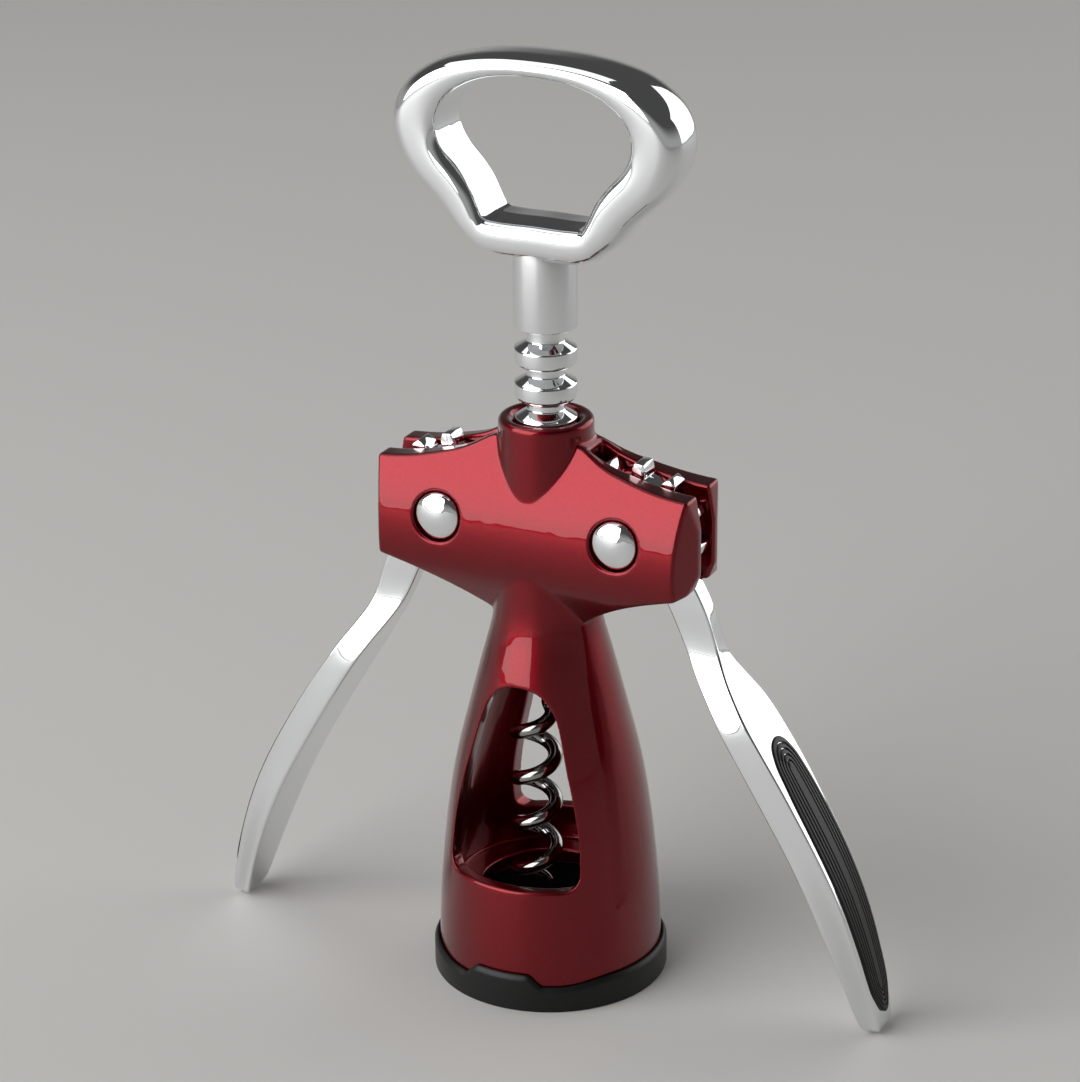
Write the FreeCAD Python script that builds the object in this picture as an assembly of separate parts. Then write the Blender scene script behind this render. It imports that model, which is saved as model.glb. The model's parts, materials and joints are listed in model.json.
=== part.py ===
"""Wing corkscrew: a die-cast frame with a bell and a slotted head, a rack spindle that carries
the worm and the opener handle, and two geared levers that lift it.

Millimetres. X runs along the levers, -Y is the front, +Z is up. The origin is the middle of the
base ring's underside. Every piece is its own solid.
"""
import FreeCAD, Part
import math
import os

V = FreeCAD.Vector
ORIGIN = V(0, 0, 0)
X = V(1, 0, 0)
Y = V(0, 1, 0)
Z = V(0, 0, 1)

# Gear train: the levers' teeth roll on the rings of the spindle.
MODULE = 2.0
GEAR_TEETH = 12
PRESSURE_ANGLE = 20.0
GEAR_ADDENDUM = 1.1
GEAR_DEDENDUM = 1.4
RACK_ADDENDUM = 0.4
RING_BAND = 3.1
BACKLASH = 0.3
MESH_PHASE = 7.0
GEAR_WIDTH = 4.3
TOOTH_FIRST = -6
TOOTH_LAST = 1
FLANK_STEPS = 4

# Spindle
RING_R = 5.58
RACK_NECK_R = 3.3
RINGS_ABOVE = 5
RINGS_BELOW = 2
GRIP_CYLINDER_R = 5.65
GRIP_CYLINDER_LENGTH = 12.4
RACK_TOP_NECK = 3.9
GUIDE_LENGTH = 18.0
TENON_R = 3.2
TENON_LENGTH = 4.6
SPINDLE_CHAMFER = 0.5

# Stop ring at the foot of the spindle
STOP_RING_R = 6.9
STOP_RING_THICK = 1.2
STOP_GROOVE_R = 4.3
STOP_GROOVE_RISE = 1.5

# How far the levers close in from the standing pose, in degrees
CLOSE_ANGLE = 24.0

# Heights of the frame
PIVOT_Z = 88.3
COLLAR_RISE = 18.7
NECK_DROP = 14.0
BELL_BOTTOM_Z = 2.0
SHOULDER_Z = 13.0
LEDGE_THICK = 3.0

# Frame
BELL_BASE_R = 20.5
BELL_STATIONS = [(20.1, 15.0), (18.9, 28.5), (16.8, 42.0), (14.0, 53.4), (11.3, 63.8)]
BELL_WALL = 2.7
NECK_R = 9.5
COLLAR_R = 8.5
COLLAR_LIP = 1.1
CORK_R = 12.5
HEAD_TOP = [(0.0, 15.6), (8.0, 15.2), (13.0, 12.7), (17.5, 11.2), (22.5, 10.0), (30.0, 9.1)]
HEAD_BOTTOM = [(29.9, -8.3), (24.5, -9.8), (19.5, -11.6), (14.0, -14.4), (10.0, -17.2), (7.0, -20.0)]
HEAD_END = [(31.0, -5.3), (31.0, 3.0)]
HEAD_CREST = 10.1
HEAD_FACE = [(3.6, 15.7), (5.6, 11.7), (7.1, 8.8), (8.5, 5.0), (9.7, 0.2), (HEAD_CREST, -3.8),
             (9.4, -9.3), (7.7, -12.7), (4.0, -18.0)]
HEAD_BEVEL_X = 2.4
HEAD_BEVEL_Y = 6.0
WINDOW_FOOT_Z = 23.0
WINDOW_FOOT_HALF = 12.6
WINDOW_CORNER = 2.4
WINDOW_SIDE = [(12.1, 33.0), (10.5, 41.0), (8.6, 48.5), (6.4, 55.3), (3.6, 58.5), (0.0, 59.4)]

# Base ring
RING_WALL = 0.95
RING_LOW_Z = 4.8
RING_SIDE_Z = 5.8
RING_TAB_Z = 7.4
TAB_TOP_HALF = 5.2
TAB_FOOT_HALF = 8.0
SIDE_TOP_HALF = 10.6
SIDE_FOOT_HALF = 18.4
SOCKET_R = 15.6
SLEEVE_WALL = 1.5

# Pivots
PIN_R = 3.0
PIN_HEAD_R = 4.15
PIN_HEAD_SKIRT = 0.5
PIN_HEAD_RISE = 1.6
RECESS_R = 4.6
RECESS_FLOOR = 7.6
PIN_TENON_R = 1.6
PIN_TENON_LENGTH = 1.3

# Levers, from the pivot of the right one
ARM_INNER = [(3.7, -6.3), (6.9, -12.3), (11.0, -21.0), (17.3, -30.3), (26.0, -44.3), (36.0, -62.3),
             (42.9, -79.0), (45.3, -86.4)]
ARM_OUTER = [(9.3, -3.5), (14.2, -12.3), (17.6, -21.8), (23.3, -30.3), (32.3, -44.3), (41.8, -62.3),
             (47.3, -79.0), (49.0, -86.0)]
ARM_TIP = (47.4, -88.0)
ARM_HALF_WIDTHS = [(-21.0, 2.15), (-25.3, 4.2), (-31.0, 6.2), (-37.0, 6.8), (-46.0, 6.7), (-62.0, 6.1),
                   (-75.0, 5.1), (-83.0, 4.1), (-88.2, 2.6)]
GRIP_DEPTH = 1.3
GRIP_PROUD = 0.3
GRIP_OUTLINE = [(0.0, -35.2), (3.2, -37.0), (4.6, -42.0), (5.1, -50.0), (4.8, -61.0), (4.1, -72.0),
                (2.6, -81.0), (0.0, -84.2)]

# Worm
WORM_WIRE_R = 1.3
WORM_HELIX_R = 3.85
WORM_PITCH = 10.0
WORM_TURNS = 3.75
WORM_START = 108.0
WORM_TOP_DROP = 5.3
WORM_LEAD_TURN = 0.45
WORM_TIP_TURN = 0.35
WORM_POINT_R = 0.2
WORM_SHANK = 8.0
WORM_SHANK_OVERLAP = 0.3
WORM_STEPS_PER_TURN = 12
WORM_TIP_STEPS = 6

# Handle loop: half sections from the bottom to the top, each as its inner and outer point,
# measured from the handle's seat
LOOP_SECTIONS = [((0.0, 6.4), (0.0, 0.0)), ((4.8, 6.4), (4.9, 0.0)), ((9.4, 6.8), (10.6, 0.7)),
                 ((11.6, 9.4), (14.6, 3.9)), ((13.0, 11.8), (18.2, 8.2)), ((15.2, 14.6), (22.5, 12.2)),
                 ((17.6, 17.8), (26.1, 17.3)), ((18.6, 21.4), (27.5, 22.6)), ((17.3, 25.2), (25.8, 28.1)),
                 ((13.8, 28.1), (20.0, 32.8)), ((9.4, 30.2), (13.2, 34.9)), ((4.7, 31.2), (6.6, 35.8)),
                 ((0.0, 31.4), (0.0, 36.0))]
LOOP_HALF_DEPTH = 6.2
LOOP_SQUARENESS = 2.6
LOOP_SECTION_POINTS = 16
BOSS_R = 6.0
BOSS_RISE = 3.0

# Clearances
RUNNING = 0.06
SLOT_SIDE = 0.45
GEAR_TIP_GAP = 0.5
LEVER_ROOM = 4.0
FIT = 0.03
STOP_GAP = 0.3

# Worked out from the above
HEAD_END_X = HEAD_END[0][0]
PITCH_R = MODULE * GEAR_TEETH / 2
GEAR_TIP_R = PITCH_R + GEAR_ADDENDUM
GEAR_ROOT_R = PITCH_R - GEAR_DEDENDUM
RACK_PITCH = math.pi * MODULE
PIVOT_X = PITCH_R + RING_R - RACK_ADDENDUM
MESH_GAP_Z = PIVOT_Z + PITCH_R * math.radians(MESH_PHASE)
RACK_TOP_Z = MESH_GAP_Z + (RINGS_ABOVE - 0.5) * RACK_PITCH + RING_BAND / 2
GUIDE_TOP_Z = MESH_GAP_Z - (RINGS_BELOW + 0.5) * RACK_PITCH + RING_BAND / 2
SPINDLE_FOOT_Z = GUIDE_TOP_Z - GUIDE_LENGTH
GRIP_CYLINDER_Z = RACK_TOP_Z + RACK_TOP_NECK
SEAT_Z = GRIP_CYLINDER_Z + GRIP_CYLINDER_LENGTH
BORE_R = max(RING_R, GRIP_CYLINDER_R) + RUNNING
COLLAR_TOP_Z = PIVOT_Z + COLLAR_RISE
LEDGE_Z = SHOULDER_Z + LEDGE_THICK
LIFT = PITCH_R * math.radians(CLOSE_ANGLE)
STOP_RING_Z = SPINDLE_FOOT_Z + STOP_GROOVE_RISE
ROOF_Z = STOP_RING_Z + STOP_RING_THICK + LIFT + STOP_GAP
NECK_Z = PIVOT_Z - NECK_DROP
SLOT_WIDTH = GEAR_WIDTH + 2 * SLOT_SIDE
RING_OUTER_R = BELL_BASE_R + FIT + RING_WALL
SLEEVE_R = SOCKET_R + SLEEVE_WALL
SHANK_TOP_Z = SPINDLE_FOOT_Z + WORM_SHANK


def spline(points, start=None, end=None):
    """A smooth edge through points given as (x, z)."""
    curve = Part.BSplineCurve()
    places = [V(x, 0, z) for x, z in points]
    if start and end:
        curve.interpolate(Points=places, InitialTangent=V(*start), FinalTangent=V(*end))
    else:
        curve.interpolate(Points=places)
    return curve.toShape()


def lines(points):
    """Straight edges through points given as (x, z)."""
    places = [V(x, 0, z) for x, z in points]
    return [Part.LineSegment(a, b).toShape() for a, b in zip(places, places[1:])]


def face(edges):
    return Part.Face(Part.Wire(Part.__sortEdges__(edges)))


def turned(edges):
    """The solid of a half section in the XZ plane, turned about Z."""
    return face(edges).revolve(ORIGIN, Z, 360)


def turned_polygon(points):
    return turned(lines(points + points[:1]))


def across(edges, depth):
    """An outline in the XZ plane made into a slab of the given depth, centred on Y = 0."""
    slab = face(edges)
    slab.translate(V(0, -depth / 2, 0))
    return slab.extrude(V(0, depth, 0))


def sideways(points_yz, x_from, x_to):
    """An outline given as edges in the XZ plane, read as (y, z), run along X."""
    slab = face(points_yz)
    slab.rotate(ORIGIN, Z, 90)
    slab.translate(V(x_from, 0, 0))
    return slab.extrude(V(x_to - x_from, 0, 0))


def mirrored(points):
    return [(-x, z) for x, z in reversed(points)]


def raised(points, lift):
    return [(x, z + lift) for x, z in points]


def along_y(shape, x, z, y, front):
    """Turns a piece that was made about Z so that its +Z points to the front or the back."""
    placed = shape.copy()
    placed.rotate(ORIGIN, X, 90 if front else -90)
    placed.translate(V(x, -y if front else y, z))
    return placed


def cylinder(radius, z_from, z_to):
    return Part.makeCylinder(radius, z_to - z_from, V(0, 0, z_from))


# ---------------------------------------------------------------- frame

def bell_curve(inset):
    points = [(BELL_BASE_R, BELL_BOTTOM_Z)] + BELL_STATIONS + [(NECK_R, NECK_Z)]
    points = [(r - inset, z) for r, z in points]
    return points, spline(points, (0, 0, 1), (0, 0, 1))


def bell_solid(inset):
    points, side = bell_curve(inset)
    foot, top = points[0], points[-1]
    return turned([side] + lines([top, (0, top[1]), (0, foot[1]), foot]))


def head_solid():
    top = raised(HEAD_TOP, PIVOT_Z)
    bottom = raised(HEAD_BOTTOM, PIVOT_Z)
    end = [bottom[0]] + raised(HEAD_END, PIVOT_Z) + [top[-1]]
    front = across(
        [spline(mirrored(top)[:-1] + top), spline(bottom), spline(mirrored(bottom))]
        + lines(end) + lines(mirrored(end)) + lines([bottom[-1], mirrored(bottom)[0]]), 3 * HEAD_CREST)
    face_points = raised(HEAD_FACE, PIVOT_Z)
    side = sideways(
        [spline(face_points), spline(mirrored(face_points))]
        + lines([face_points[0], mirrored(face_points)[-1]])
        + lines([face_points[-1], mirrored(face_points)[0]]), -2 * HEAD_END_X, 2 * HEAD_END_X)
    cut_x = HEAD_END_X - HEAD_BEVEL_X
    cut_y = HEAD_CREST - HEAD_BEVEL_Y
    deep = 2 * HEAD_CREST
    corner = cut_x - HEAD_BEVEL_X * (deep - HEAD_CREST) / HEAD_BEVEL_Y
    plan = [(HEAD_END_X, cut_y), (corner, deep), (-corner, deep), (-HEAD_END_X, cut_y),
            (-HEAD_END_X, -cut_y), (-corner, -deep), (corner, -deep), (HEAD_END_X, -cut_y)]
    wire = Part.makePolygon([V(x, y, 0) for x, y in plan + plan[:1]])
    block = Part.Face(wire).extrude(V(0, 0, 2 * COLLAR_TOP_Z))
    return front.common(side).common(block)


def window_prism():
    foot = WINDOW_FOOT_Z
    half = WINDOW_FOOT_HALF
    corner = WINDOW_CORNER
    side = [(half, foot + corner)] + WINDOW_SIDE
    over = spline(side + mirrored(side)[1:])
    bend = corner * (1 - math.sqrt(0.5))
    right = Part.Arc(V(half - corner, 0, foot), V(half - bend, 0, foot + bend), V(half, 0, foot + corner))
    left = Part.Arc(V(corner - half, 0, foot), V(bend - half, 0, foot + bend), V(-half, 0, foot + corner))
    base = lines([(corner - half, foot), (half - corner, foot)])
    return across([over, right.toShape(), left.toShape()] + base, 4 * BELL_BASE_R)


def gear_slot():
    """Room for both gears and for the levers over their whole swing."""
    half = SLOT_WIDTH / 2
    tall = 2 * GEAR_TIP_R
    wide = 2 * HEAD_END_X
    upper_x = NECK_R + FIT
    lower_x = PIVOT_X - LEVER_ROOM
    disc = Part.makeCylinder(GEAR_TIP_R + GEAR_TIP_GAP, SLOT_WIDTH, V(PIVOT_X, -half, PIVOT_Z), Y)
    upper = Part.makeBox(wide, SLOT_WIDTH, tall, V(upper_x, -half, PIVOT_Z))
    lower = Part.makeBox(wide, SLOT_WIDTH, tall, V(lower_x, -half, PIVOT_Z - tall))
    room = [disc, upper, lower]
    return room + [piece.mirror(ORIGIN, X) for piece in room]


def bell_frame():
    collar = turned_polygon([(0, NECK_Z), (NECK_R, NECK_Z), (NECK_R, PIVOT_Z), (COLLAR_R, PIVOT_Z),
                             (COLLAR_R, COLLAR_TOP_Z - COLLAR_LIP / 2),
                             (COLLAR_R - COLLAR_LIP / 2, COLLAR_TOP_Z), (0, COLLAR_TOP_Z)])
    body = bell_solid(0).multiFuse([head_solid(), collar])
    cavity = bell_solid(BELL_WALL).common(cylinder(BELL_BASE_R, LEDGE_Z, ROOF_Z))
    mouth = turned_polygon([(0, COLLAR_TOP_Z - COLLAR_LIP), (BORE_R, COLLAR_TOP_Z - COLLAR_LIP),
                            (BORE_R + COLLAR_LIP, COLLAR_TOP_Z + FIT), (0, COLLAR_TOP_Z + FIT)])
    tools = [cavity, mouth, window_prism(),
             cylinder(SLEEVE_R + FIT, 0, SHOULDER_Z),
             cylinder(CORK_R, 0, LEDGE_Z + FIT),
             cylinder(BORE_R, ROOF_Z - FIT, COLLAR_TOP_Z + FIT)] + gear_slot()
    for side in (-1, 1):
        x = side * PIVOT_X
        tools.append(Part.makeCylinder(PIN_R + FIT, 4 * HEAD_CREST, V(x, -2 * HEAD_CREST, PIVOT_Z), Y))
        tools.append(Part.makeCylinder(RECESS_R, HEAD_CREST, V(x, -RECESS_FLOOR, PIVOT_Z), V(0, -1, 0)))
        tools.append(Part.makeCylinder(RECESS_R, HEAD_CREST, V(x, RECESS_FLOOR, PIVOT_Z), Y))
    return body.cut(tools).removeSplitter()


# ---------------------------------------------------------------- base ring

def base_ring():
    inner = BELL_BASE_R + FIT
    band = cylinder(RING_OUTER_R, 0, RING_TAB_Z).cut(cylinder(inner, BELL_BOTTOM_Z, RING_TAB_Z))
    deep = 2 * RING_OUTER_R
    tabs = across(lines([(-TAB_FOOT_HALF, RING_LOW_Z), (TAB_FOOT_HALF, RING_LOW_Z),
                         (TAB_TOP_HALF, RING_TAB_Z), (-TAB_TOP_HALF, RING_TAB_Z),
                         (-TAB_FOOT_HALF, RING_LOW_Z)]), 2 * deep)
    sides = sideways(lines([(-SIDE_FOOT_HALF, RING_LOW_Z), (SIDE_FOOT_HALF, RING_LOW_Z),
                            (SIDE_TOP_HALF, RING_SIDE_Z), (-SIDE_TOP_HALF, RING_SIDE_Z),
                            (-SIDE_FOOT_HALF, RING_LOW_Z)]), -deep, deep)
    low = cylinder(deep, 0, RING_LOW_Z)
    band = band.common(low.multiFuse([tabs, sides]))
    sleeve = cylinder(SLEEVE_R, 0, SHOULDER_Z)
    return band.fuse(sleeve).cut(cylinder(SOCKET_R, 0, SHOULDER_Z)).removeSplitter()


# ---------------------------------------------------------------- pivots

def dome(radius, skirt, rise):
    """A button head about Z with its flat side at Z = 0."""
    bulge = (radius ** 2 + rise ** 2) / (2 * rise)
    middle = math.asin(radius / bulge) / 2
    top = skirt + rise
    arc = Part.Arc(V(radius, 0, skirt),
                   V(bulge * math.sin(middle), 0, top - bulge * (1 - math.cos(middle))), V(0, 0, top))
    return turned([arc.toShape()] + lines([(0, top), (0, 0), (radius, 0), (radius, skirt)]))


def pivot_pin(side):
    shank = cylinder(PIN_R, -2 * RECESS_FLOOR, 0)
    tenon = cylinder(PIN_TENON_R, -2 * RECESS_FLOOR - PIN_TENON_LENGTH, -2 * RECESS_FLOOR)
    pin = dome(PIN_HEAD_R, PIN_HEAD_SKIRT, PIN_HEAD_RISE).multiFuse([shank, tenon]).removeSplitter()
    return along_y(pin, side * PIVOT_X, PIVOT_Z, RECESS_FLOOR, True)


def pivot_cap(side):
    cap = dome(PIN_HEAD_R, PIN_HEAD_SKIRT, PIN_HEAD_RISE)
    cap = cap.cut(cylinder(PIN_TENON_R + FIT, 0, PIN_TENON_LENGTH + FIT))
    return along_y(cap, side * PIVOT_X, PIVOT_Z, RECESS_FLOOR, False)


# ---------------------------------------------------------------- levers

def involute(angle):
    return math.tan(angle) - angle


def tooth(centre):
    """One involute gear tooth about the origin, as a slab; centre is its angle in degrees."""
    pressure = math.radians(PRESSURE_ANGLE)
    base_r = PITCH_R * math.cos(pressure)
    ring_at_pitch = RING_BAND + 2 * RACK_ADDENDUM * math.tan(pressure)
    thickness = RACK_PITCH - ring_at_pitch - BACKLASH
    half = thickness / (2 * PITCH_R) + involute(pressure)
    flank = []
    for step in range(FLANK_STEPS + 1):
        r = base_r + (GEAR_TIP_R - base_r) * step / FLANK_STEPS
        swing = half - involute(math.acos(base_r / r))
        flank.append((r * math.cos(swing), r * math.sin(swing)))
    foot_r = GEAR_ROOT_R / 2
    foot = (foot_r * math.cos(half), foot_r * math.sin(half))
    upper = [foot] + flank
    lower = [(x, -z) for x, z in upper]
    tip = Part.Arc(V(flank[-1][0], 0, flank[-1][1]), V(GEAR_TIP_R, 0, 0), V(flank[-1][0], 0, -flank[-1][1]))
    edges = [spline(flank), spline(lower[1:]), tip.toShape()]
    edges += lines([foot, flank[0]]) + lines([lower[0], lower[1]]) + lines([foot, lower[0]])
    slab = across(edges, GEAR_WIDTH)
    slab.rotate(ORIGIN, Y, -centre)
    return slab


def arm_blank():
    """The arm's front outline as a deep slab, from the pivot."""
    widest = max(half for z, half in ARM_HALF_WIDTHS)
    tip = Part.Arc(V(ARM_INNER[-1][0], 0, ARM_INNER[-1][1]), V(ARM_TIP[0], 0, ARM_TIP[1]),
                   V(ARM_OUTER[-1][0], 0, ARM_OUTER[-1][1]))
    edges = [spline(ARM_INNER), spline(ARM_OUTER), tip.toShape()] + lines([ARM_INNER[0], ARM_OUTER[0]])
    return across(edges, 4 * widest)


def arm_widths():
    """The arm's width along its length, as a slab along X."""
    reach = 2 * ARM_TIP[0]
    points = [(half, z) for z, half in ARM_HALF_WIDTHS]
    top_half = ARM_HALF_WIDTHS[0][1]
    left = mirrored(points)
    return sideways(
        [spline(points, (0, 0, -1), (-1, 0, -1)), spline(left, (-1, 0, 1), (0, 0, 1))]
        + lines([points[0], (top_half, 0), (-top_half, 0), left[-1]])
        + lines([points[-1], left[0]]), -reach, reach)


def grip_solid():
    """The rubber inlay in the outer face of the arm, from the pivot."""
    outer = ARM_OUTER[3:]
    inside = [(x - GRIP_DEPTH, z) for x, z in outer]
    outside = [(x + GRIP_PROUD, z) for x, z in outer]
    tail_in = (inside[-1][0], ARM_TIP[1])
    tail_out = (outside[-1][0], ARM_TIP[1])
    band = across(
        [spline(inside), spline(outside)] + lines([inside[0], outside[0]])
        + lines([inside[-1], tail_in, tail_out, outside[-1]]), 4 * GRIP_OUTLINE[3][0])
    outline = Part.BSplineCurve()
    around = GRIP_OUTLINE + mirrored(GRIP_OUTLINE)[1:-1]
    outline.interpolate(Points=[V(y, 0, z) for y, z in around], PeriodicFlag=True)
    return band.common(sideways([outline.toShape()], 0, 2 * ARM_TIP[0]))


def lever_solid():
    hub = Part.makeCylinder(GEAR_ROOT_R, GEAR_WIDTH, V(0, -GEAR_WIDTH / 2, 0), Y)
    step = 360.0 / GEAR_TEETH
    teeth = [tooth(180 - MESH_PHASE + step * k) for k in range(TOOTH_FIRST, TOOTH_LAST + 1)]
    arm = arm_blank().common(arm_widths())
    body = hub.multiFuse(teeth + [arm])
    bore = Part.makeCylinder(PIN_R + RUNNING, 2 * GEAR_WIDTH, V(0, -GEAR_WIDTH, 0), Y)
    return body.cut([bore, grip_solid()]).removeSplitter()


def placed_lever_piece(shape, side):
    piece = shape.copy()
    piece.translate(V(PIVOT_X, 0, PIVOT_Z))
    return piece if side > 0 else piece.mirror(ORIGIN, X)


# ---------------------------------------------------------------- spindle

def ring_flank():
    return (RING_R - RACK_NECK_R) * math.tan(math.radians(PRESSURE_ANGLE))


def rack_spindle():
    flank = ring_flank()
    groove_top = STOP_RING_Z + STOP_RING_THICK + RUNNING
    points = [(0, SPINDLE_FOOT_Z), (RING_R - SPINDLE_CHAMFER, SPINDLE_FOOT_Z),
              (RING_R, SPINDLE_FOOT_Z + SPINDLE_CHAMFER), (RING_R, STOP_RING_Z - RUNNING),
              (STOP_GROOVE_R, STOP_RING_Z - RUNNING), (STOP_GROOVE_R, groove_top), (RING_R, groove_top),
              (RING_R, GUIDE_TOP_Z), (RACK_NECK_R, GUIDE_TOP_Z + flank)]
    for k in range(-RINGS_BELOW, RINGS_ABOVE):
        middle = MESH_GAP_Z + (k + 0.5) * RACK_PITCH
        half = RING_BAND / 2
        points += [(RACK_NECK_R, middle - half - flank), (RING_R, middle - half),
                   (RING_R, middle + half), (RACK_NECK_R, middle + half + flank)]
    top = SEAT_Z + TENON_LENGTH
    points += [(RACK_NECK_R, GRIP_CYLINDER_Z), (GRIP_CYLINDER_R - SPINDLE_CHAMFER, GRIP_CYLINDER_Z),
               (GRIP_CYLINDER_R, GRIP_CYLINDER_Z + SPINDLE_CHAMFER), (GRIP_CYLINDER_R, SEAT_Z),
               (TENON_R, SEAT_Z), (TENON_R, top - SPINDLE_CHAMFER), (TENON_R - SPINDLE_CHAMFER, top),
               (0, top)]
    body = turned_polygon(points)
    return body.cut(cylinder(WORM_WIRE_R + FIT, SPINDLE_FOOT_Z, SHANK_TOP_Z + FIT))


def stop_ring():
    hole = cylinder(STOP_GROOVE_R + RUNNING, STOP_RING_Z, STOP_RING_Z + STOP_RING_THICK)
    return cylinder(STOP_RING_R, STOP_RING_Z, STOP_RING_Z + STOP_RING_THICK).cut(hole)


# ---------------------------------------------------------------- worm

def worm_place(turn):
    """A point of the wire's middle; turn counts from the top of the full helix, downwards."""
    top_z = SPINDLE_FOOT_Z - WORM_TOP_DROP
    radius = WORM_HELIX_R
    if turn < 0:
        radius *= 0.5 * (1 + math.cos(math.pi * turn / WORM_LEAD_TURN))
    angle = math.radians(WORM_START) - 2 * math.pi * turn
    return V(radius * math.cos(angle), radius * math.sin(angle), top_z - WORM_PITCH * turn)


def worm_heading(turn):
    return (worm_place(turn + 0.01) - worm_place(turn - 0.01)).normalize()


def narrowed(ring, turn, radius):
    """A copy of the ring at the end of the full wire, made smaller and moved on towards the point."""
    last = WORM_TURNS - WORM_TIP_TURN
    tilt = FreeCAD.Rotation(worm_heading(last), worm_heading(turn))
    copy = ring.copy()
    copy.translate(-worm_place(last))
    copy.scale(radius / WORM_WIRE_R, ORIGIN)
    copy.rotate(ORIGIN, tilt.Axis, math.degrees(tilt.Angle))
    copy.translate(worm_place(turn))
    return copy


def worm():
    """A straight shank that bends into the helix, which ends in a point."""
    first = -WORM_LEAD_TURN
    last = WORM_TURNS - WORM_TIP_TURN
    count = round((last - first) * WORM_STEPS_PER_TURN)
    places = [worm_place(first + (last - first) * k / count) for k in range(count + 1)]
    path = Part.BSplineCurve()
    path.interpolate(Points=places)
    heading = path.tangent(path.FirstParameter)[0]
    section = Part.Wire(Part.Circle(places[0], heading, WORM_WIRE_R).toShape())
    wire = Part.Wire(path.toShape()).makePipeShell([section], True, True)
    end = min(wire.Faces, key=lambda side: (side.CenterOfMass - places[-1]).Length).OuterWire
    rings = [end]
    for k in range(1, WORM_TIP_STEPS + 1):
        share = k / WORM_TIP_STEPS
        radius = math.sqrt(WORM_WIRE_R ** 2 * (1 - share) + WORM_POINT_R ** 2 * share)
        rings.append(narrowed(end, last + WORM_TIP_TURN * share, radius))
    tip = Part.makeLoft(rings, True)
    shank = cylinder(WORM_WIRE_R, places[0].z - WORM_SHANK_OVERLAP, SHANK_TOP_Z)
    return wire.multiFuse([tip, shank]).removeSplitter()


# ---------------------------------------------------------------- handle

def loop_section(inner, outer):
    middle = V((inner[0] + outer[0]) / 2, 0, (inner[1] + outer[1]) / 2)
    reach = V((outer[0] - inner[0]) / 2, 0, (outer[1] - inner[1]) / 2)
    power = 2 / LOOP_SQUARENESS
    places = []
    for k in range(LOOP_SECTION_POINTS):
        angle = 2 * math.pi * k / LOOP_SECTION_POINTS
        c, s = math.cos(angle), math.sin(angle)
        places.append(middle + reach * math.copysign(abs(c) ** power, c)
                      + Y * (LOOP_HALF_DEPTH * math.copysign(abs(s) ** power, s)))
    curve = Part.BSplineCurve()
    curve.interpolate(Points=places, PeriodicFlag=True)
    return Part.Wire(curve.toShape())


def opener_handle():
    """The loop is lofted a little past its middle plane, cut there and mirrored."""
    past_ends = [tuple(mirrored([place])[0] for place in LOOP_SECTIONS[k]) for k in (1, -2)]
    sections = [past_ends[0]] + LOOP_SECTIONS + [past_ends[1]]
    loft = Part.makeLoft([loop_section(inner, outer) for inner, outer in sections], True)
    room = 3 * LOOP_SECTIONS[-1][1][1]
    half = loft.common(Part.makeBox(room, room, room, V(0, -room / 2, -room / 2)))
    loop = half.fuse(half.mirror(ORIGIN, X))
    loop.translate(V(0, 0, SEAT_Z))
    boss = cylinder(BOSS_R, SEAT_Z, SEAT_Z + BOSS_RISE)
    bore = cylinder(TENON_R + FIT, SEAT_Z, SEAT_Z + TENON_LENGTH + FIT)
    below = cylinder(2 * BOSS_R, SEAT_Z - BOSS_RISE, SEAT_Z)
    return loop.fuse(boss).cut([bore, below]).removeSplitter()


def main():
    os.makedirs("parts", exist_ok=True)
    lever = lever_solid()
    grip = grip_solid()
    pieces = {
        "bell_frame": bell_frame(),
        "base_ring": base_ring(),
        "rack_spindle": rack_spindle(),
        "stop_ring": stop_ring(),
        "worm": worm(),
        "opener_handle": opener_handle(),
    }
    for name, side in (("left", -1), ("right", 1)):
        pieces[name + "_lever"] = placed_lever_piece(lever, side)
        pieces[name + "_grip"] = placed_lever_piece(grip, side)
        pieces[name + "_pivot_pin"] = pivot_pin(side)
        pieces[name + "_pivot_cap"] = pivot_cap(side)
    for name, shape in pieces.items():
        box = shape.BoundBox
        print(f"{name}: {len(shape.Solids)} solid, valid {shape.isValid()}, {shape.Volume:.1f} mm3, "
              f"x {box.XMin:.1f}..{box.XMax:.1f} y {box.YMin:.1f}..{box.YMax:.1f} z {box.ZMin:.1f}..{box.ZMax:.1f}")
        shape.exportStep(f"parts/{name}.step")


main()
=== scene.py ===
"""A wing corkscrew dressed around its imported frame: a lacquered die-cast body, chromed levers,
spindle and loop handle, a wire worm and black rubber trim. Shapes are worked out in millimetres
and turned to metres when a piece is finished.
"""
import json
import math

import bmesh
import bpy
from bpy.props import FloatProperty, FloatVectorProperty, IntProperty, PointerProperty
from mathutils import Matrix, Quaternion, Vector
from mathutils.geometry import interpolate_bezier

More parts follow.
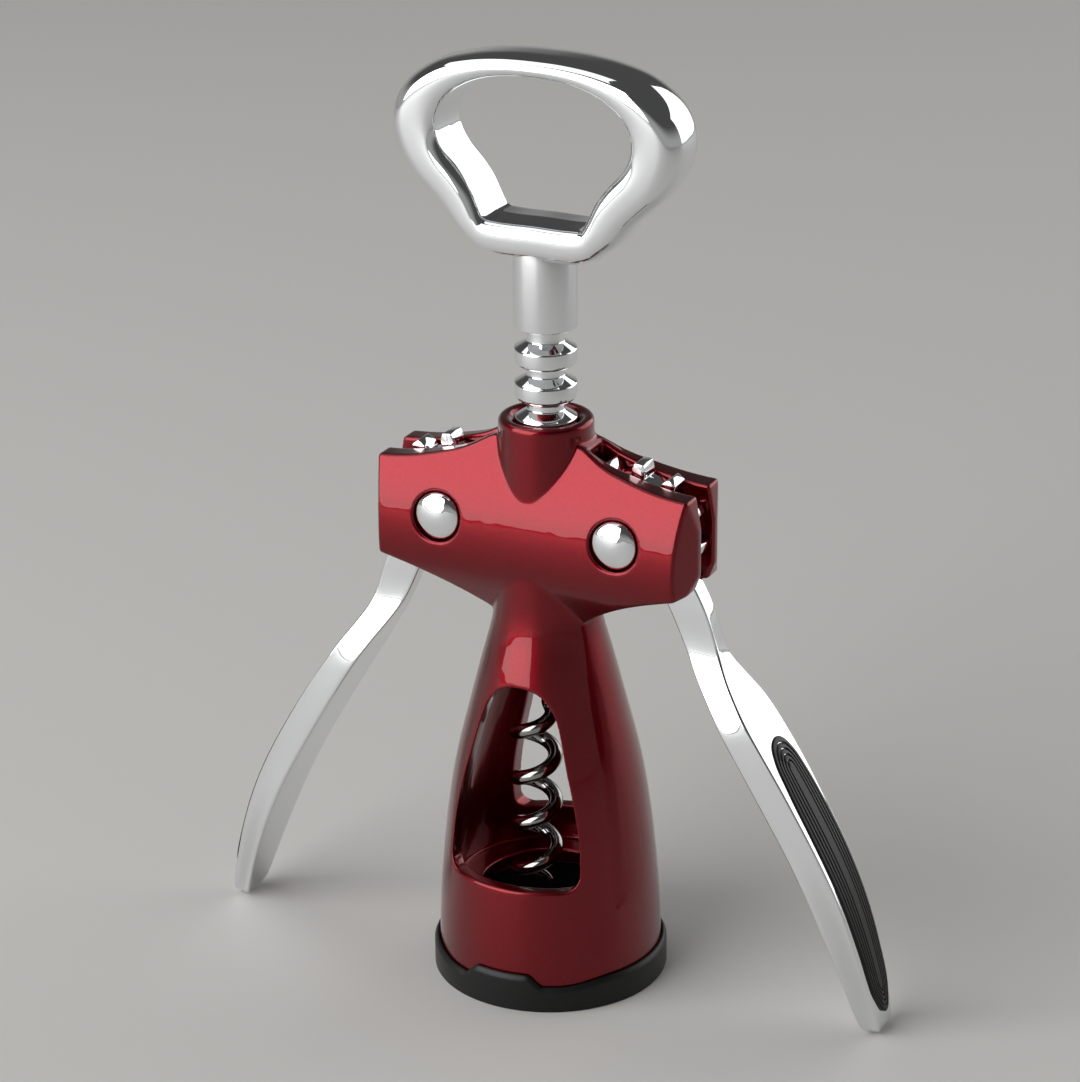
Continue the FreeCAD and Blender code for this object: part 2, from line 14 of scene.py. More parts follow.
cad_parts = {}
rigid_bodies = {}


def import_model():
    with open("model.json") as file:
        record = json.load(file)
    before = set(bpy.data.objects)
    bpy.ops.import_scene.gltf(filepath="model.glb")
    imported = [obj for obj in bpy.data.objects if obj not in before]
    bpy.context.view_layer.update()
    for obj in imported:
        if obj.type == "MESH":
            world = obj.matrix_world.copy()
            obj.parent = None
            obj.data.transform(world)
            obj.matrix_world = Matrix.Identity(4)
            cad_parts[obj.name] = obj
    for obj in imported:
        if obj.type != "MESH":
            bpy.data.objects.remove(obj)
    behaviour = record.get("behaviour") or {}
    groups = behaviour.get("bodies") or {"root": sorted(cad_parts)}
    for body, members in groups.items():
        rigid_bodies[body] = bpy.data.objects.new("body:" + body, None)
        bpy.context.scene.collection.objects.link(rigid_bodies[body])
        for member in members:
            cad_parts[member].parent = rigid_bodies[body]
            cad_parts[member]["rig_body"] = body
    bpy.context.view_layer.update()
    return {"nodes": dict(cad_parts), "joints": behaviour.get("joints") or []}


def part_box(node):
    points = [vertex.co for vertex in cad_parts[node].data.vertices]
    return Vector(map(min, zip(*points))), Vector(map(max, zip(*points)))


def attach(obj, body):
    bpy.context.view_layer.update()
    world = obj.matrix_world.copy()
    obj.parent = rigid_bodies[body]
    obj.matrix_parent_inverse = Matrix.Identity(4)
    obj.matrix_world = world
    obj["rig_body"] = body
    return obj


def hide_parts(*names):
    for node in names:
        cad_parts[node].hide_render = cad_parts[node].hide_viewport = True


bl_info = {
    "name": "Wing Corkscrew",
    "version": (1, 0, 0),
    "blender": (4, 5, 0),
    "location": "View3D > Sidebar > Corkscrew",
    "description": "Dresses the frame of a wing corkscrew in lacquer, chrome, steel and rubber",
    "category": "Object",
}

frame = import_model()

MM = 0.001
X = Vector((1, 0, 0))
Y = Vector((0, 1, 0))
Z = Vector((0, 0, 1))
SIDES = {"right": 1, "left": -1}


# ---------------------------------------------------------------- places from the frame

def low_corner(node):
    """The lowest x, y and z of a node's box."""
    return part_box(node)[0] / MM


def high_corner(node):
    """The highest x, y and z of a node's box."""
    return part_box(node)[1] / MM


def pivot_place(side):
    hinge = next(j for j in frame["joints"] if j["name"] == side + "_lever_hinge")
    return Vector(hinge["pos_m"]) / MM


# ---------------------------------------------------------------- shape tools

def smooth_line(points, steps, first=None, last=None):
    """A smooth line through points, with its directions at the ends where they are given."""
    places = [Vector(p) for p in points]
    spans = [(b - a).length for a, b in zip(places, places[1:])]
    slopes = [(b - a) / s for a, b, s in zip(places, places[1:], spans)]
    tangents = [slopes[0]]
    for k in range(1, len(places) - 1):
        share = spans[k - 1] / (spans[k - 1] + spans[k])
        tangents.append(slopes[k - 1].lerp(slopes[k], share))
    tangents.append(slopes[-1])
    if first:
        tangents[0] = Vector(first).normalized()
    if last:
        tangents[-1] = Vector(last).normalized()
    line = []
    for k, span in enumerate(spans):
        a, b = places[k], places[k + 1]
        piece = interpolate_bezier(
            a.to_3d(), (a + tangents[k] * span / 3).to_3d(),
            (b - tangents[k + 1] * span / 3).to_3d(), b.to_3d(), steps + 1)
        line += piece[:-1] if k < len(spans) - 1 else piece
    return line


def at_height(line, z):
    """The place where a line that only goes down, carried on past its ends, passes height z."""
    for a, b in zip(line, line[1:]):
        if b.z <= z:
            break
    return a.lerp(b, (a.z - z) / (a.z - b.z))


def ring_edges(bm, ring):
    return [bm.edges.get(pair) or bm.edges.new(pair) for pair in zip(ring, ring[1:] + ring[:1])]


def grown_ring(bm, ring, places):
    """Extrudes a ring and moves its copy to places, in the same order."""
    made = bmesh.ops.extrude_edge_only(bm, edges=ring_edges(bm, ring))["geom"]
    fresh = {v for v in made if isinstance(v, bmesh.types.BMVert)}
    copy = [next(e.other_vert(v) for e in v.link_edges if e.other_vert(v) in fresh) for v in ring]
    for vert, place in zip(copy, places):
        vert.co = place
    return copy


def lofted(sections, closed=False, caps=True):
    """A skin over rings of points; closed joins the last ring to the first."""
    bm = bmesh.new()
    first = [bm.verts.new(place) for place in sections[0]]
    ring = first
    for places in sections[1:]:
        ring = grown_ring(bm, ring, places)
    if closed:
        bmesh.ops.bridge_loops(bm, edges=ring_edges(bm, ring) + ring_edges(bm, first))
    elif caps:
        bmesh.ops.contextual_create(bm, geom=ring_edges(bm, first))
        bmesh.ops.contextual_create(bm, geom=ring_edges(bm, ring))
    bmesh.ops.recalc_face_normals(bm, faces=bm.faces)
    return bm


def turned(profile, steps, rounding=0.0, segments=3, closed=False):
    """A profile given as (radius, z), its corners rounded, turned about Z."""
    bm = bmesh.new()
    verts = [bm.verts.new((r, 0, z)) for r, z in profile]
    for pair in zip(verts, verts[1:] + verts[:1] if closed else verts[1:]):
        bm.edges.new(pair)
    if rounding:
        corners = [v for v in verts if v.co.x > 1e-6 and len(v.link_edges) == 2]
        bmesh.ops.bevel(bm, geom=corners, offset=rounding, segments=segments, profile=0.5,
                        affect="VERTICES", clamp_overlap=True, material=-1)
    bmesh.ops.spin(bm, geom=bm.verts[:] + bm.edges[:], cent=(0, 0, 0), axis=Z,
                   angle=2 * math.pi, steps=steps, use_merge=True)
    bmesh.ops.remove_doubles(bm, verts=bm.verts, dist=1e-5)
    bmesh.ops.recalc_face_normals(bm, faces=bm.faces)
    return bm


def piped(places, radii, sides):
    """A round wire along places, with a radius for each."""
    spans = [(b - a).normalized() for a, b in zip(places, places[1:])]
    headings = spans[:1] + [(a + b).normalized() for a, b in zip(spans, spans[1:])] + spans[-1:]
    turn = Z.rotation_difference(headings[0])
    sections = []
    for k, (place, radius) in enumerate(zip(places, radii)):
        if k:
            turn = headings[k - 1].rotation_difference(headings[k]) @ turn
        spokes = [Quaternion(Z, 2 * math.pi * s / sides) @ X * radius for s in range(sides)]
        sections.append([place + turn @ spoke for spoke in spokes])
    return lofted(sections)


def plate(outline, half_thick, edge):
    """A flat plate across Y from an outline of (x, z), with its sharp edges broken."""
    bm = bmesh.new()
    verts = [bm.verts.new((x, -half_thick, z)) for x, z in outline]
    bmesh.ops.contextual_create(bm, geom=ring_edges(bm, verts))
    grown = bmesh.ops.extrude_face_region(bm, geom=bm.faces[:])["geom"]
    bmesh.ops.translate(bm, vec=(0, 2 * half_thick, 0),
                        verts=[v for v in grown if isinstance(v, bmesh.types.BMVert)])
    bmesh.ops.recalc_face_normals(bm, faces=bm.faces)
    sharp = [e for e in bm.edges if e.calc_face_angle(0) > math.radians(30)]
    bmesh.ops.bevel(bm, geom=sharp, offset=edge, segments=2, profile=0.5, affect="EDGES",
                    clamp_overlap=True, material=-1)
    return bm


def turned_to_front(bm, place, front=True):
    """Turns a mesh about Z so that its +Z faces the front or the back, and moves it to place."""
    turn = Matrix.Rotation(math.radians(90 if front else -90), 4, "X")
    bmesh.ops.transform(bm, matrix=Matrix.Translation(place) @ turn, verts=bm.verts)
    return bm


def on_side(piece, side):
    """Mirrors a piece that was made for the right side where it is for the left one."""
    if SIDES[side] < 0:
        bm = bmesh.new()
        bm.from_mesh(piece.data)
        bmesh.ops.scale(bm, vec=(-1, 1, 1), verts=bm.verts)
        bmesh.ops.recalc_face_normals(bm, faces=bm.faces)
        bm.to_mesh(piece.data)
        bm.free()
    return piece


def baked(piece):
    """Replaces the piece's mesh by the one its modifiers make."""
    graph = bpy.context.evaluated_depsgraph_get()
    mesh = bpy.data.meshes.new_from_object(piece.evaluated_get(graph))
    piece.modifiers.clear()
    piece.data = mesh
    return piece


def loose_object(name, bm):
    """An object in the scene that takes the mesh over from bm."""
    mesh = bpy.data.meshes.new(name)
    bm.to_mesh(mesh)
    bm.free()
    piece = bpy.data.objects.new(name, mesh)
    bpy.context.scene.collection.objects.link(piece)
    return piece


def subdivided(piece, levels):
    smooth = piece.modifiers.new("Smooth", "SUBSURF")
    smooth.levels = levels
    smooth.render_levels = levels
    return piece


def combined(piece, tool_bm, operation):
    """Joins another mesh to the piece, or cuts it away."""
    tool = loose_object("tool", tool_bm)
    step = piece.modifiers.new("Combine", "BOOLEAN")
    step.operation = operation
    step.solver = "EXACT"
    step.object = tool
    baked(piece)
    bpy.data.objects.remove(tool)
    return piece


def finished(piece, node, body, material, flat_angle=None):
    """Scales a millimetre mesh to metres, shades it and puts it in the node's place."""
    piece.data.transform(Matrix.Scale(MM, 4))
    piece.data.shade_smooth()
    if flat_angle:
        piece.data.set_sharp_from_angle(angle=math.radians(flat_angle))
    piece.data.materials.clear()
    piece.data.materials.append(material_named(material))
    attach(piece, body)
    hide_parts(node)
    return piece


def softened_copy(node, name, skin_size, rounds, most_triangles):
    """A copy of a node's solid with its edges rounded evenly, as casting and lacquer leave them."""
    bm = bmesh.new()
    bm.from_mesh(frame["nodes"][node].data)
    bmesh.ops.scale(bm, vec=(1 / MM, 1 / MM, 1 / MM), verts=bm.verts)
    bmesh.ops.remove_doubles(bm, verts=bm.verts, dist=1e-4)
    piece = loose_object(name, bm)
    remesh = piece.modifiers.new("Even skin", "REMESH")
    remesh.mode = "VOXEL"
    remesh.voxel_size = skin_size
    smooth = piece.modifiers.new("Round edges", "SMOOTH")
    smooth.factor = 0.5
    smooth.iterations = rounds
    baked(piece)
    piece.data.shade_smooth()
    even = bpy.data.objects.new("even_skin", piece.data.copy())
    bpy.context.scene.collection.objects.link(even)
    thin = piece.modifiers.new("Fewer faces", "DECIMATE")
    thin.ratio = min(1.0, most_triangles / (2 * len(piece.data.polygons)))
    shade = piece.modifiers.new("Even shading", "DATA_TRANSFER")
    shade.object = even
    shade.use_loop_data = True
    shade.data_types_loops = {"CUSTOM_NORMAL"}
    shade.loop_mapping = "POLYINTERP_NEAREST"
    baked(piece)
    bpy.data.objects.remove(even)
    return piece


# ---------------------------------------------------------------- material tools

def linear(hex_colour):
    """An sRGB hex colour as linear red, green, blue and alpha."""
    parts = [int(hex_colour[k:k + 2], 16) / 255 for k in (1, 3, 5)]
    return tuple(c / 12.92 if c <= 0.04045 else ((c + 0.055) / 1.055) ** 2.4 for c in parts) + (1.0,)


def add_node(tree, kind, settings=None, inputs=None):
    """Adds a node; an input's value is a number, a colour or another node's output."""
    node = tree.nodes.new(kind)
    for key, value in (settings or {}).items():
        setattr(node, key, value)
    for key, value in (inputs or {}).items():
        if isinstance(value, bpy.types.NodeSocket):
            tree.links.new(value, node.inputs[key])
        else:
            node.inputs[key].default_value = value
    return node


def new_material(name):
    """An empty material with its shader and its Object coordinates."""
    material = bpy.data.materials.new(name)
    material.use_nodes = True
    tree = material.node_tree
    tree.nodes.clear()
    shader = add_node(tree, "ShaderNodeBsdfPrincipled")
    add_node(tree, "ShaderNodeOutputMaterial", inputs={"Surface": shader.outputs["BSDF"]})
    place = add_node(tree, "ShaderNodeTexCoord").outputs["Object"]
    return material, tree, shader, place


def candy_red_lacquer():
    """Metallic red lacquer under clear coat on a zinc die-casting: fine flake, a deep wet gloss
    and the faint orange peel of sprayed clear coat.
    """
    flake_size, peel_size, peel_depth = 0.25, 1.6, 0.05
    colours = bpy.context.scene.corkscrew_frame
    material, tree, shader, place = new_material("candy_red_lacquer")
    flake = add_node(tree, "ShaderNodeTexVoronoi", {"feature": "F1"}, {
        "Vector": place, "Scale": 1 / (flake_size * MM)})
    tone = add_node(tree, "ShaderNodeMix", {"data_type": "RGBA"}, {
        "Factor": flake.outputs["Distance"], "A": colours.flake_colour, "B": colours.lacquer_colour})
    peel = add_node(tree, "ShaderNodeTexNoise", {}, {
        "Vector": place, "Scale": 1 / (peel_size * MM), "Detail": 1.0})
    bump = add_node(tree, "ShaderNodeBump", {}, {
        "Height": peel.outputs["Fac"], "Strength": 0.04, "Distance": peel_depth * MM})
    tree.links.new(tone.outputs["Result"], shader.inputs["Base Color"])
    tree.links.new(bump.outputs["Normal"], shader.inputs["Coat Normal"])
    shader.inputs["Metallic"].default_value = 1.0
    shader.inputs["Roughness"].default_value = 0.36
    shader.inputs["Coat Weight"].default_value = 1.0
    shader.inputs["Coat Roughness"].default_value = 0.02
    shader.inputs["Coat IOR"].default_value = 1.37
    return material


def mirror_chrome():
    """Bright decorative chrome plating over polished zinc: a near mirror with faint polishing
    haze.
    """
    haze_size = 9
    material, tree, shader, place = new_material("mirror_chrome")
    haze = add_node(tree, "ShaderNodeTexNoise", {}, {
        "Vector": place, "Scale": 1 / (haze_size * MM), "Detail": 4.0})
    rough = add_node(tree, "ShaderNodeMapRange", {}, {
        "Value": haze.outputs["Fac"], "To Min": 0.02, "To Max": 0.07})
    tree.links.new(rough.outputs["Result"], shader.inputs["Roughness"])
    shader.inputs["Base Color"].default_value = linear("#E6E8EA")
    shader.inputs["Metallic"].default_value = 1.0
    return material


def hardened_steel():
    """Hard-drawn steel wire, tempered and polished: darker and softer in gloss than chrome."""
    grain_size = 2
    material, tree, shader, place = new_material("hardened_steel")
    grain = add_node(tree, "ShaderNodeTexNoise", {}, {
        "Vector": place, "Scale": 1 / (grain_size * MM), "Detail": 6.0})
    tone = add_node(tree, "ShaderNodeMix", {"data_type": "RGBA"}, {
        "Factor": grain.outputs["Fac"], "A": linear("#8A8886"), "B": linear("#A5A3A0")})
    rough = add_node(tree, "ShaderNodeMapRange", {}, {
        "Value": grain.outputs["Fac"], "To Min": 0.06, "To Max": 0.16})
    tree.links.new(tone.outputs["Result"], shader.inputs["Base Color"])
    tree.links.new(rough.outputs["Result"], shader.inputs["Roughness"])
    shader.inputs["Metallic"].default_value = 1.0
    return material


def moulded_rubber():
    """Black thermoplastic rubber from a satin mould: a soft sheen and a very fine grain."""
    grain_size, grain_depth = 0.35, 0.03
    material, tree, shader, place = new_material("moulded_rubber")
    grain = add_node(tree, "ShaderNodeTexNoise", {}, {
        "Vector": place, "Scale": 1 / (grain_size * MM), "Detail": 2.0})
    tone = add_node(tree, "ShaderNodeMix", {"data_type": "RGBA"}, {
        "Factor": grain.outputs["Fac"], "A": linear("#090A0A"), "B": linear("#101111")})
    rough = add_node(tree, "ShaderNodeMapRange", {}, {
        "Value": grain.outputs["Fac"], "To Min": 0.32, "To Max": 0.46})
    bump = add_node(tree, "ShaderNodeBump", {}, {
        "Height": grain.outputs["Fac"], "Strength": 0.2, "Distance": grain_depth * MM})
    tree.links.new(tone.outputs["Result"], shader.inputs["Base Color"])
    tree.links.new(rough.outputs["Result"], shader.inputs["Roughness"])
    tree.links.new(bump.outputs["Normal"], shader.inputs["Normal"])
    shader.inputs["Specular IOR Level"].default_value = 0.3
    return material


MATERIALS = {}


def material_named(maker):
    """The material of a maker function, made once and then shared."""
    if maker.__name__ not in MATERIALS:
        MATERIALS[maker.__name__] = maker()
    return MATERIALS[maker.__name__]


# ---------------------------------------------------------------- settings

def size_prop(name, text, default):
    return FloatProperty(name=name, description=text + ", in millimetres", default=default, min=0.0)


def colour_prop(name, text, hex_colour):
    return FloatVectorProperty(name=name, description=text, subtype="COLOR", size=4, min=0.0, max=1.0,
                               default=linear(hex_colour))


class CorkscrewFrameSettings(bpy.types.PropertyGroup):
    skin_size: size_prop("Skin size", "Size of the even skin's faces", 0.17)
    edge_rounds: IntProperty(
        name="Edge rounds", description="How many times the cast edges are rounded", default=45, min=0)
    most_triangles: IntProperty(
        name="Most triangles", description="How many triangles the body keeps", default=190000, min=1000)
    flake_colour: colour_prop("Flake", "Colour of the lacquer over a metal flake", "#800012")
    lacquer_colour: colour_prop("Lacquer", "Colour of the lacquer between the flakes", "#68000D")
    ring_edge: size_prop("Ring edge", "Radius of the base ring's edges", 0.3)
    tab_rise: size_prop("Tab rise", "How far the tabs stand above the base ring's low edge", 2.25)
    side_rise: size_prop("Side rise", "How far the ring's sides stand above its low edge", 1.0)


class CorkscrewSpindleSettings(bpy.types.PropertyGroup):
    ring_radius: size_prop("Ring radius", "Radius of the rack's rings", 5.58)
    neck_radius: size_prop("Neck radius", "Radius of the rack between its rings", 3.3)
    ring_band: size_prop("Ring band", "Height of a ring's outer face", 3.0)
    grip_radius: size_prop("Grip radius", "Radius of the plain cylinder under the handle", 5.65)
    wire_radius: size_prop("Wire radius", "Radius of the worm's wire", 1.38)
    helix_radius: size_prop("Helix radius", "Radius of the worm's helix", 3.55)


class CorkscrewHandleSettings(bpy.types.PropertyGroup):
    half_depth: size_prop("Half depth", "Half the loop's depth from front to back", 6.2)
    ridge: size_prop("Ridge", "How far the parting ridge stands into the loop", 0.25)


class CorkscrewLeverSettings(bpy.types.PropertyGroup):
    edge: size_prop("Edge", "Width of the arms' broken edges", 0.4)
    crown: size_prop("Crown", "How far the arms' outer face is crowned", 0.35)
    groove_depth: size_prop("Groove depth", "Depth of the grips' grooves", 0.4)
    grooves: IntProperty(name="Grooves", description="How many grooves nest in a grip", default=4, min=1)


class CorkscrewStageSettings(bpy.types.PropertyGroup):
    floor_colour: colour_prop("Floor", "Colour of the plain floor", "#C9C8C5")
    target: FloatVectorProperty(
        name="Target", description="Point that the camera looks at", subtype="TRANSLATION",
        unit="LENGTH", default=(-0.00117, -0.00057, 0.08316))
    azimuth: FloatProperty(
        name="Azimuth", description="Camera's angle from the front", subtype="ANGLE",
        default=math.radians(26.0))
    elevation: FloatProperty(
        name="Elevation", description="Camera's height angle", subtype="ANGLE",
        default=math.radians(21.82))
    roll: FloatProperty(
        name="Roll", description="Camera's tilt", subtype="ANGLE", default=math.radians(-0.552))
    distance: FloatProperty(
        name="Distance", description="Camera's distance to its target", unit="LENGTH", default=0.63775)
    focal_length: FloatProperty(
        name="Focal length", description="Camera's focal length, in millimetres", default=119.6)


# ---------------------------------------------------------------- operators

class CORKSCREW_OT_frame_body(bpy.types.Operator):
    """Die-cast bell and slotted head, with rounded edges under thick lacquer."""
    bl_idname = "corkscrew.frame_body"
    bl_label = "Frame body"

    def execute(self, context):
        sizes = context.scene.corkscrew_frame
        piece = softened_copy("bell_frame", "frame_body", sizes.skin_size, sizes.edge_rounds,
                              sizes.most_triangles)
        finished(piece, "bell_frame", "frame", candy_red_lacquer)
        return {"FINISHED"}


class CORKSCREW_OT_base_ring(bpy.types.Operator):
    """Rubber ring under the bell, with its raised tabs and the sleeve that guides a bottle."""
    bl_idname = "corkscrew.base_ring"
    bl_label = "Base ring"

    steps, edge_steps = 288, 4
    bell_radius, bell_foot = 20.53, 2.0
    socket_radius, sleeve_radius = 15.6, 17.1
    low_edge, shoulder, moved_above = 4.8, 0.9, 3.0
    # half of a raised stretch and the ramp beside it, in degrees round the ring
    tab_half, tab_ramp = 13.2, 9.0
    side_half, side_ramp = 30.0, 30.0

    def execute(self, context):
        sizes = context.scene.corkscrew_frame
        outer = high_corner("base_ring").x
        sleeve_top = high_corner("base_ring").z
        profile = [(self.socket_radius, 0), (outer, 0), (outer, self.low_edge - self.shoulder),
                   (outer - self.shoulder / 2, self.low_edge),
                   (self.bell_radius, self.low_edge), (self.bell_radius, self.bell_foot),
                   (self.sleeve_radius, self.bell_foot), (self.sleeve_radius, sleeve_top),
                   (self.socket_radius, sleeve_top)]
        bm = turned(profile, self.steps, sizes.ring_edge, self.edge_steps, closed=True)
        sleeve_ends = (self.sleeve_radius + self.bell_radius) / 2
        for vert in bm.verts:
            if vert.co.z > self.moved_above and vert.co.xy.length > sleeve_ends:
                vert.co.z += self.rise(vert.co, sizes)
        piece = loose_object("base_ring_trim", bm)
        finished(piece, "base_ring", "frame", moulded_rubber, flat_angle=40)
        return {"FINISHED"}

    def rise(self, place, sizes):
        """How far the ring's top is raised at the front and back tabs and at the sides."""
        angle = math.degrees(math.atan2(abs(place.x), abs(place.y)))
        tab = self.ramp(angle, self.tab_half, self.tab_ramp)
        side = self.ramp(90 - angle, self.side_half, self.side_ramp)
        return max(tab * sizes.tab_rise, side * sizes.side_rise)

    def ramp(self, angle, half, wide):
        """1 up to the angle half, and down smoothly to 0 over the next wide degrees."""
        share = min(1.0, max(0.0, 1 - (angle - half) / wide))
        return share * share * (3 - 2 * share)


class CORKSCREW_OT_rack_spindle(bpy.types.Operator):
    """Turned rack of rings, its guide and the plain cylinder under the handle."""
    bl_idname = "corkscrew.rack_spindle"
    bl_label = "Rack spindle"

    pitch = 2 * math.pi
    rings_below, rings_above = 2, 5
    gap_above_pivot = 1.466
    top_cone, foot_cone = 1.3, 0.45
    band_taper, foot_break, foot_rise = 0.12, 0.35, 0.5
    top_neck, cylinder_length, into_handle = 3.9, 12.4, 3.0
    groove_radius, groove_low, groove_high = 4.3, 1.44, 2.76
    steps, edge, edge_steps = 96, 0.22, 3

    def execute(self, context):
        sizes = context.scene.corkscrew_spindle
        foot = low_corner("rack_spindle").z
        gap = pivot_place("right").z + self.gap_above_pivot
        r, neck, half = sizes.ring_radius, sizes.neck_radius, sizes.ring_band / 2
        groove_foot, groove_top = foot + self.groove_low, foot + self.groove_high
        guide_top = gap - (self.rings_below + 0.5) * self.pitch + half
        points = [(0, foot), (r, foot), (r, groove_foot), (self.groove_radius, groove_foot),
                  (self.groove_radius, groove_top), (r, groove_top),
                  (r, guide_top), (neck, guide_top + self.top_cone)]
        band_foot = r - self.band_taper
        for k in range(-self.rings_below, self.rings_above):
            middle = gap + (k + 0.5) * self.pitch
            low, high = middle - half, middle + half
            points += [(neck, low - self.foot_cone), (band_foot - self.foot_break, low),
                       (band_foot, low + self.foot_rise), (r, high), (neck, high + self.top_cone)]
        cylinder_foot = points[-1][1] - self.top_cone + self.top_neck
        top = cylinder_foot + self.cylinder_length + self.into_handle
        points += [(neck, cylinder_foot), (sizes.grip_radius, cylinder_foot),
                   (sizes.grip_radius, top), (0, top)]
        bm = turned(points, self.steps, self.edge, self.edge_steps)
        piece = loose_object("rack_spindle_turned", bm)
        finished(piece, "rack_spindle", "spindle", mirror_chrome, flat_angle=40)
        return {"FINISHED"}


class CORKSCREW_OT_stop_ring(bpy.types.Operator):
    """Sprung ring that stops the spindle inside the bell."""
    bl_idname = "corkscrew.stop_ring"
    bl_label = "Stop ring"

    bore_radius = 4.36
    steps, edge, edge_steps = 96, 0.2, 3

    def execute(self, context):
        low, high = low_corner("stop_ring"), high_corner("stop_ring")
        profile = [(self.bore_radius, low.z), (high.x, low.z),
                   (high.x, high.z), (self.bore_radius, high.z)]
        bm = turned(profile, self.steps, self.edge, self.edge_steps, closed=True)
        piece = loose_object("stop_ring_clip", bm)
        body = frame["nodes"]["stop_ring"]["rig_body"]
        finished(piece, "stop_ring", body, hardened_steel, flat_angle=40)
        return {"FINISHED"}


class CORKSCREW_OT_worm(bpy.types.Operator):
    """Open helix of round wire that hangs from its shank and ends in a ground point."""
    bl_idname = "corkscrew.worm"
    bl_label = "Worm"

    pitch, turns, start = 9.2, 3.65, math.radians(-65.0)
    off_axis = Vector((-2.16, -1.05, 0))
    # lengths of the lead out of the shank and of the ground point, in turns
    lead, tip = 0.45, 0.35
    point_radius = 0.2
    drop, shank = 9.3, 8.0
    steps_per_turn, sides = 36, 16

    def place(self, turn, sizes, top):
        """The wire's middle: on the spindle's axis at the shank, and on the helix from turn 0."""
        opened = 0.5 * (1 + math.cos(math.pi * min(0.0, turn) / self.lead))
        angle = self.start - 2 * math.pi * turn
        around = Vector((math.cos(angle), math.sin(angle), 0)) * sizes.helix_radius
        return (around + self.off_axis) * opened + Z * (top - self.pitch * turn)

    def execute(self, context):
        sizes = context.scene.corkscrew_spindle
        foot = low_corner("rack_spindle").z
        places, radii = [Z * (foot + self.shank)], [sizes.wire_radius]
        count = round((self.lead + self.turns) * self.steps_per_turn)
        for k in range(count + 1):
            turn = -self.lead + (self.lead + self.turns) * k / count
            ground = max(0.0, (turn - self.turns + self.tip) / self.tip)
            places.append(self.place(turn, sizes, foot - self.drop))
            section = sizes.wire_radius ** 2 * (1 - ground) + self.point_radius ** 2 * ground
            radii.append(math.sqrt(section))
        piece = loose_object("worm_wire", piped(places, radii, self.sides))
        subdivided(piece, 1)
        finished(piece, "worm", "spindle", hardened_steel)
        return {"FINISHED"}


class CORKSCREW_OT_opener_handle(bpy.types.Operator):
    """Cast loop handle: rounded outside, drafted inside to a parting ridge, chrome plated."""
    bl_idname = "corkscrew.opener_handle"
    bl_label = "Opener handle"

    # the loop's right half as (x, height over the seat), up from its foot to its top
    inner = [(0, 7.1), (7.9, 7.1), (8.6, 7.17), (9.2, 7.5), (9.6, 8.1), (10.2, 9.4), (11.6, 12.3),
             (13.6, 15.0), (16.2, 17.8), (17.7, 20.4), (18.0, 23.2), (16.8, 26.4), (13.9, 29.0),
             (9.5, 31.0), (4.8, 31.9), (0, 32.1)]
    outer = [(0, 0), (8.4, 0.17), (9.9, 0.6), (11.3, 1.3), (12.4, 2.15), (14.6, 3.9), (18.2, 8.2),
             (20.5, 10.35), (24.0, 13.85), (26.1, 17.3), (27.5, 22.6), (25.8, 28.1), (20.0, 32.8),
             (13.2, 34.9), (6.6, 35.8), (0, 36.0)]
    steps, section_steps = 4, 3
    # the face as (share of the way out, millimetres more, depth), drawn for this half depth
    drawn_depth, wall_depth = 6.2, 4.4
    section = [(0.0, 0.5, 5.15), (0.06, 0.65, 5.75), (0.18, 0.75, 6.12), (0.5, 0.0, 6.2),
               (0.78, 0.0, 5.65), (0.95, 0.0, 3.5), (1.0, 0.0, 0.0)]
    # points that keep the ridge and the wall's end crisp, as (out, deep) from each
    beside_ridge, beside_end = (0.04, 0.35), (0.03, 0.35)

    def execute(self, context):
        sizes = context.scene.corkscrew_handle
        seat = low_corner("opener_handle").z
        inside, outside = [smooth_line([(x, 0, z + seat) for x, z in points], self.steps, X, -X)
                           for points in (self.inner, self.outer)]
        half = [self.ring(a, b, sizes) for a, b in zip(inside, outside)]
        mirrored = [[Vector((-p.x, p.y, p.z)) for p in ring] for ring in half[-2:0:-1]]
        piece = loose_object("opener_loop", lofted(half + mirrored, closed=True))
        subdivided(piece, 1)
        finished(piece, "opener_handle", "spindle", mirror_chrome)
        return {"FINISHED"}

    def ring(self, inside, outside, sizes):
        """One section: a ridge and two drafted walls inside, and a round face outside."""
        reach = outside - inside
        across = reach.length
        away = reach / across
        deeper = sizes.half_depth / self.drawn_depth
        wall = self.wall_depth * deeper
        face = [(sizes.ridge, wall)]
        face += [(share * across + more, depth * deeper) for share, more, depth in self.section]
        line = smooth_line(face, self.section_steps, (0.2, 1), (0, -1))
        half = [(0, 0), self.beside_ridge, (sizes.ridge - self.beside_end[0], wall - self.beside_end[1])]
        half += [(p.x, p.y) for p in line]
        full = half + [(u, -y) for u, y in half[-2:0:-1]]
        return [inside + away * u - Y * y for u, y in full]


